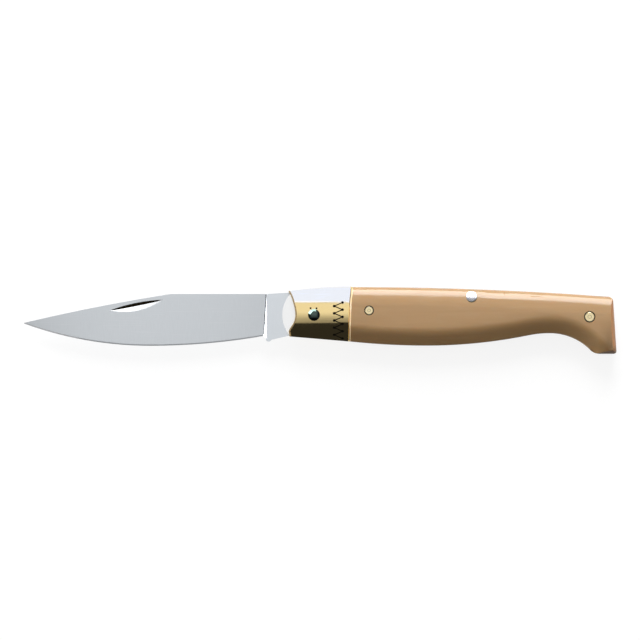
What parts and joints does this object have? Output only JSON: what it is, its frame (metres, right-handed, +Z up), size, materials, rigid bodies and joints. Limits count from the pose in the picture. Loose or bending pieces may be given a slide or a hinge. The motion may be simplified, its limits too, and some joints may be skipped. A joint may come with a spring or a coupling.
{
  "type": "folding pocket knife",
  "caption": "Traditional slip-joint folding knife with a flat-ground clip-point blade, brass bolsters, horn-look scales and a beaked butt.",
  "frame": {"origin": "middle of the open knife's box, on the surface that its right side lies on", "axes": "+X from the tip to the butt, +Y to the back of the handle, +Z up through the left side, which has the nail nick"},
  "size_m": [0.1998, 0.0228, 0.0132],
  "materials": {
    "blade_steel": "satin, with a polished bearing face",
    "spring_steel": "satin",
    "liner_brass": "satin",
    "bolster_brass": "polished",
    "horn_plastic": "polished tan, imitation horn",
    "pin_steel": "polished",
    "pin_brass": "polished"
  },
  "bodies": {
    "handle": {"back_spring": "spring_steel", "left_liner": "liner_brass", "right_liner": "liner_brass", "left_bolster": "bolster_brass", "right_bolster": "bolster_brass", "left_scale": "horn_plastic", "right_scale": "horn_plastic", "pivot_pin": "pin_steel", "spring_pin": "pin_steel", "tail_pin": "pin_brass", "left_scale_pin": "pin_brass", "right_scale_pin": "pin_brass"},
    "blade": {"blade": "blade_steel"}
  },
  "joints": [
    {"name": "blade_fold", "type": "hinge", "parent": "handle", "child": "blade", "pos_m": [-0.00207, 0.00175, 0.0066], "axis": [0, 0, 1], "range_deg": [0, 171.5], "deforming": ["back_spring"]}
  ]
}
